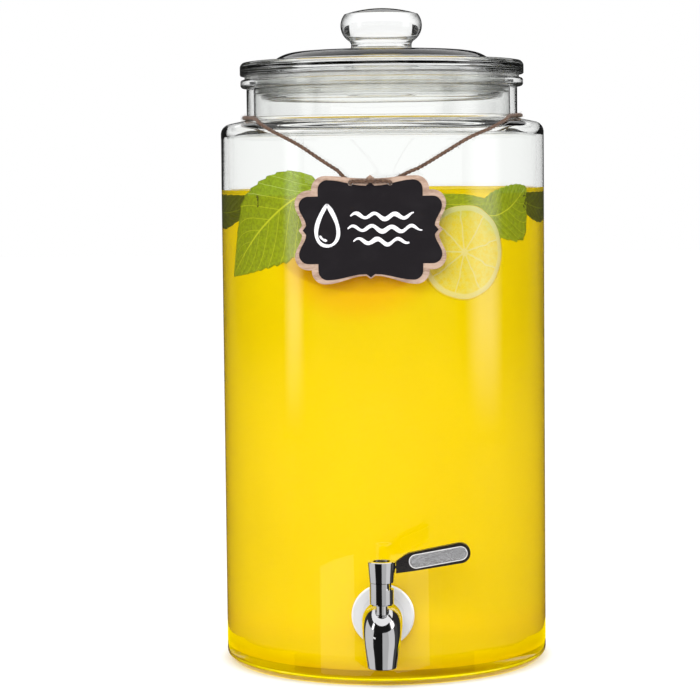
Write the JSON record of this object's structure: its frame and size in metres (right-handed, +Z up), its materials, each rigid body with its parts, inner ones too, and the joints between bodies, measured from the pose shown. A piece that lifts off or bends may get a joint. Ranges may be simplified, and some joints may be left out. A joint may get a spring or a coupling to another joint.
{
  "type": "glass drink dispenser with tap",
  "caption": "Straight glass dispenser jar with a lift-off knobbed glass lid, a quarter-turn steel ball tap with a gripped lever, and a chalk tag on a twine.",
  "frame": {"origin": "centre of the ring that the jar stands on, on the jar's axis", "axes": "+Z up along the jar's axis; the tap looks along -Y; +X is to the right seen from the front"},
  "size_m": [0.185, 0.2242, 0.3735],
  "materials": {
    "clear_glass": "clear pressed glass, smooth",
    "lid_glass": "clear pressed glass, smooth",
    "clear_silicone": "translucent silicone",
    "polished_steel": "mirror polished steel",
    "plate_steel": "fine satin steel",
    "turned_steel": "turned steel",
    "dark_silicone": "soft rubber",
    "gland_brass": "turned brass",
    "seat_plastic": "white low-friction plastic",
    "black_rubber": "rubber",
    "black_grip": "satin moulded plastic",
    "grey_pad": "speckled textured plastic",
    "brown_wood": "cut board with a bare brown edge",
    "chalk_face": "matt chalkboard paint",
    "jute": "twisted jute twine"
  },
  "bodies": {
    "jar": {"jar": "clear_glass", "jar_neck": "clear_glass", "spout": "polished_steel", "tap_shank": "turned_steel", "wall_plate": "plate_steel", "outer_gasket": "dark_silicone", "inner_gasket": "clear_silicone", "washer": "turned_steel", "lock_nut": "turned_steel", "bonnet": "polished_steel", "gland_ring": "gland_brass", "inlet_seat": "seat_plastic", "outlet_seat": "seat_plastic", "twine_loop": "jute"},
    "lid": {"lid": "lid_glass", "lid_seal": "clear_silicone"},
    "tap_handle": {"valve_ball": "turned_steel", "valve_stem": "turned_steel", "stem_orings": "black_rubber", "stop_pin": "turned_steel", "lever": "polished_steel", "lever_grip": "black_grip", "grip_pads": "grey_pad", "lever_screw": "turned_steel"},
    "tag": {"tag_board": "brown_wood", "tag_face": "chalk_face", "twine_bridge": "jute"}
  },
  "joints": [
    {"name": "lid_lift", "type": "slide", "parent": "jar", "child": "lid", "axis": [0, 0, 1], "range_m": [0, 0.08]},
    {"name": "lever_turn", "type": "hinge", "parent": "jar", "child": "tap_handle", "pos_m": [0, -0.122, 0.04], "axis": [0, 0, 1], "range_deg": [-90, 0]},
    {"name": "tag_swing", "type": "hinge", "parent": "jar", "child": "tag", "pos_m": [-0.0048, -0.0936, 0.2794], "axis": [-1, 0, 0], "range_deg": [0, 75]}
  ]
}
